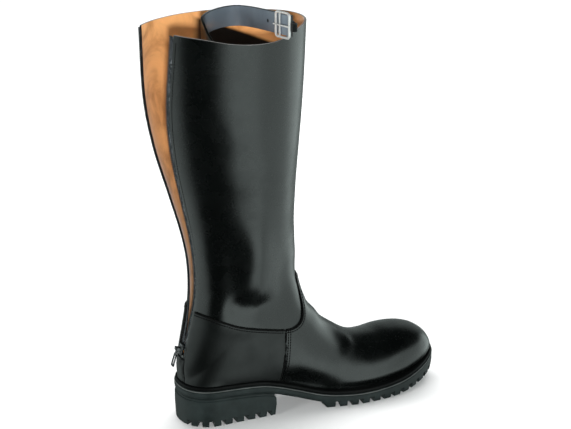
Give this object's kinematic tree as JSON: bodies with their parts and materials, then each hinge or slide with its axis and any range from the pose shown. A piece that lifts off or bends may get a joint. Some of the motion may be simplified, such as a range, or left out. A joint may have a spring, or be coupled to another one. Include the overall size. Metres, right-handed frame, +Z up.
{
  "type": "patrol boot",
  "caption": "Tall black leather patrol boot with a lugged rubber sole, a back zip that opens the shaft, heel and vamp overlays and a buckled calf strap in the collar.",
  "frame": {"origin": "on the floor, under the middle of the heel", "axes": "+X towards the toe, +Y towards the inner side of the foot, +Z up"},
  "size_m": [0.3365, 0.1288, 0.453],
  "materials": {
    "outsole": "matt moulded rubber",
    "heel": "matt moulded rubber",
    "welt": "trimmed edge",
    "insole": "suede side up",
    "upper": "smooth, medium gloss",
    "vamp": "smooth, medium gloss",
    "quarter_outer": "smooth, medium gloss",
    "quarter_inner": "smooth, medium gloss",
    "back_strip": "smooth, medium gloss",
    "zip_tape_outer": "woven",
    "zip_tape_inner": "woven",
    "zip_slider": "dark metal",
    "pull_tab": "dark metal with worn edges",
    "calf_strap": "smooth, medium gloss",
    "strap_chape": "smooth, medium gloss",
    "buckle_frame": "polished",
    "buckle_prong": "polished"
  },
  "bodies": {
    "boot": {"outsole": "outsole", "heel": "heel", "welt": "welt", "insole": "insole", "upper": "upper", "vamp": "vamp", "quarter_outer": "quarter_outer", "quarter_inner": "quarter_inner", "back_strip": "back_strip", "zip_tape_outer": "zip_tape_outer", "zip_tape_inner": "zip_tape_inner", "zip_slider": "zip_slider", "calf_strap": "calf_strap", "strap_chape": "strap_chape", "buckle_frame": "buckle_frame", "buckle_prong": "buckle_prong"},
    "tab": {"pull_tab": "pull_tab"}
  },
  "joints": [
    {"name": "pull_tab_hinge", "type": "hinge", "parent": "boot", "child": "tab", "pos_m": [-0.03499, 0, 0.08314], "axis": [0, 1, 0], "range_deg": [-6, 150]}
  ]
}
